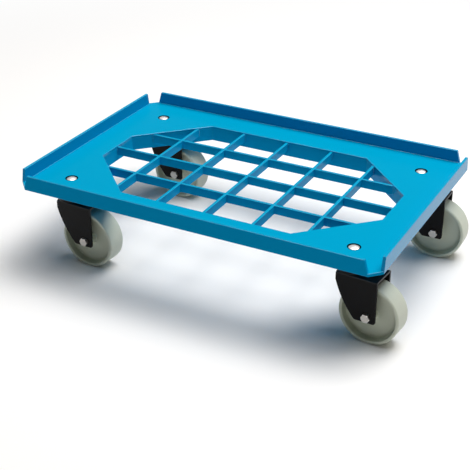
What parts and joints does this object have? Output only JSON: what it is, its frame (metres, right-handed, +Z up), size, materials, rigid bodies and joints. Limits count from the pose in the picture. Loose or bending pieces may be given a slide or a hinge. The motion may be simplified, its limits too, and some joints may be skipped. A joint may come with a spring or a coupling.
{
  "type": "platform dolly",
  "caption": "Low platform dolly: a blue sheet-steel tray deck with a barred window, carried on swivel casters with pale nylon wheels, for moving boxes and crates.",
  "frame": {"origin": "middle of the deck's upper surface, at the height where a load stands", "axes": "+X along the long side, towards the right in the picture; +Y across the deck, away from the picture's viewer; +Z up, out of the load surface"},
  "size_m": [0.6624, 0.43, 0.1704],
  "materials": {
    "blue_paint": "satin powder coat",
    "black_paint": "satin",
    "zinc_steel": "bright zinc plate",
    "bearing_steel": "polished",
    "wheel_nylon": "satin",
    "bush_bronze": "plain bearing bronze"
  },
  "bodies": {
    "deck": {"cross_bar_1": "blue_paint", "cross_bar_2": "blue_paint", "cross_bar_3": "blue_paint", "cross_bar_4": "blue_paint", "cross_bar_5": "blue_paint", "deck_pan": "blue_paint", "king_bolts": "zinc_steel", "king_nuts": "zinc_steel", "king_washers": "zinc_steel", "long_bar_1": "blue_paint", "long_bar_2": "blue_paint", "long_bar_3": "blue_paint", "mounting_boss_front_left": "blue_paint", "mounting_boss_front_right": "blue_paint", "mounting_boss_rear_left": "blue_paint", "mounting_boss_rear_right": "blue_paint", "swivel_head_front_left": "black_paint", "swivel_head_front_right": "black_paint", "swivel_head_rear_left": "black_paint", "swivel_head_rear_right": "black_paint", "window_frame_front": "blue_paint", "window_frame_front_left": "blue_paint", "window_frame_front_right": "blue_paint", "window_frame_left": "blue_paint", "window_frame_rear": "blue_paint", "window_frame_rear_left": "blue_paint", "window_frame_rear_right": "blue_paint", "window_frame_right": "blue_paint"},
    "swivel_front_left": {"axle_bolt_front_left": "zinc_steel", "axle_nut_front_left": "zinc_steel", "axle_sleeve_front_left": "zinc_steel", "fork_front_left": "black_paint", "swivel_balls_front_left": "bearing_steel"},
    "wheel_front_left": {"wheel_bush_front_left": "bush_bronze", "wheel_front_left": "wheel_nylon"},
    "swivel_front_right": {"axle_bolt_front_right": "zinc_steel", "axle_nut_front_right": "zinc_steel", "axle_sleeve_front_right": "zinc_steel", "fork_front_right": "black_paint", "swivel_balls_front_right": "bearing_steel"},
    "wheel_front_right": {"wheel_bush_front_right": "bush_bronze", "wheel_front_right": "wheel_nylon"},
    "swivel_rear_left": {"axle_bolt_rear_left": "zinc_steel", "axle_nut_rear_left": "zinc_steel", "axle_sleeve_rear_left": "zinc_steel", "fork_rear_left": "black_paint", "swivel_balls_rear_left": "bearing_steel"},
    "wheel_rear_left": {"wheel_bush_rear_left": "bush_bronze", "wheel_rear_left": "wheel_nylon"},
    "swivel_rear_right": {"axle_bolt_rear_right": "zinc_steel", "axle_nut_rear_right": "zinc_steel", "axle_sleeve_rear_right": "zinc_steel", "fork_rear_right": "black_paint", "swivel_balls_rear_right": "bearing_steel"},
    "wheel_rear_right": {"wheel_bush_rear_right": "bush_bronze", "wheel_rear_right": "wheel_nylon"}
  },
  "joints": [
    {"name": "swivel_front_left", "type": "hinge", "parent": "deck", "child": "swivel_front_left", "pos_m": [-0.254, -0.149, -0.03795], "axis": [0, 0, 1], "continuous": true},
    {"name": "roll_front_left", "type": "hinge", "parent": "swivel_front_left", "child": "wheel_front_left", "pos_m": [-0.21655, -0.15096, -0.09895], "axis": [0.0523, 0.9986, 0], "continuous": true},
    {"name": "swivel_front_right", "type": "hinge", "parent": "deck", "child": "swivel_front_right", "pos_m": [0.254, -0.149, -0.03795], "axis": [0, 0, 1], "continuous": true},
    {"name": "roll_front_right", "type": "hinge", "parent": "swivel_front_right", "child": "wheel_front_right", "pos_m": [0.29138, -0.15194, -0.09895], "axis": [0.0785, 0.9969, 0], "continuous": true},
    {"name": "swivel_rear_left", "type": "hinge", "parent": "deck", "child": "swivel_rear_left", "pos_m": [-0.254, 0.149, -0.03795], "axis": [0, 0, 1], "continuous": true},
    {"name": "roll_rear_left", "type": "hinge", "parent": "swivel_rear_left", "child": "wheel_rear_left", "pos_m": [-0.21654, 0.14736, -0.09895], "axis": [0.0436, 0.999, 0], "continuous": true},
    {"name": "swivel_rear_right", "type": "hinge", "parent": "deck", "child": "swivel_rear_right", "pos_m": [0.254, 0.149, -0.03795], "axis": [0, 0, 1], "continuous": true},
    {"name": "roll_rear_right", "type": "hinge", "parent": "swivel_rear_right", "child": "wheel_rear_right", "pos_m": [0.29149, 0.14965, -0.09895], "axis": [-0.0175, 0.9998, 0], "continuous": true}
  ]
}
